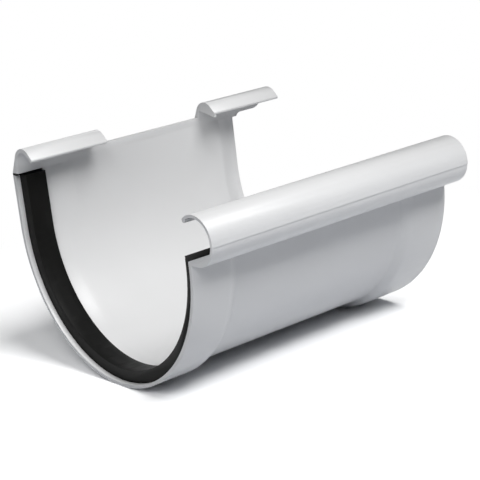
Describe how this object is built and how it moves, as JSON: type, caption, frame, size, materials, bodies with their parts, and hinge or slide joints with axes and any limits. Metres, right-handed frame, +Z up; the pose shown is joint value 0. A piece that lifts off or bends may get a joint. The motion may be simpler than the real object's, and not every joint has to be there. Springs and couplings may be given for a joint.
{
  "type": "gutter union clip",
  "caption": "Half-round plastic gutter union with a sealed socket, a plain socket, a rolled cover for the front bead and snap hooks along the back edge.",
  "frame": {"origin": "on the floor, under the middle of the length and of the width", "axes": "+X along the trough from the sealed socket to the plain one, +Y from the rolled front cover to the back hooks, +Z up"},
  "size_m": [0.161, 0.1574, 0.1116],
  "materials": {
    "body_plastic": "gloss",
    "seal_rubber": "matte"
  },
  "bodies": {
    "root": {"union_body": "body_plastic", "rubber_seal": "seal_rubber"}
  },
  "joints": []
}
